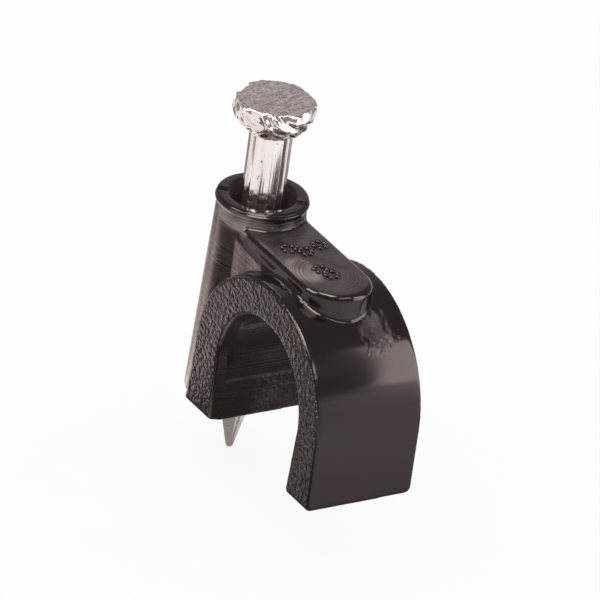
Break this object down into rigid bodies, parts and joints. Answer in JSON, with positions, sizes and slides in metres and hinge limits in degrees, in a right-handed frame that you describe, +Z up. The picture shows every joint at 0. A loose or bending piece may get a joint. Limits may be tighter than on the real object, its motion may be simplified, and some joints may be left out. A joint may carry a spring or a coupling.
{
  "type": "nail-in cable clip",
  "caption": "Nail-in cable clip: a black moulded hook that straddles a round cable, bridged to a tapered barrel that carries a fluted steel nail.",
  "frame": {"origin": "where the nail's axis meets the wall plane that both feet stand on", "axes": "+Z up the nail to its head, +X from the nail across the hook to its free leg, +Y along the cable"},
  "size_m": [0.0148, 0.006, 0.02],
  "materials": {
    "black_plastic": "moulded black plastic, glossy outside with a fine grain on the end faces",
    "plated_steel": "bright plated steel with a rough matt top on the head"
  },
  "bodies": {
    "root": {"clip_body": "black_plastic", "nail": "plated_steel"}
  },
  "joints": []
}
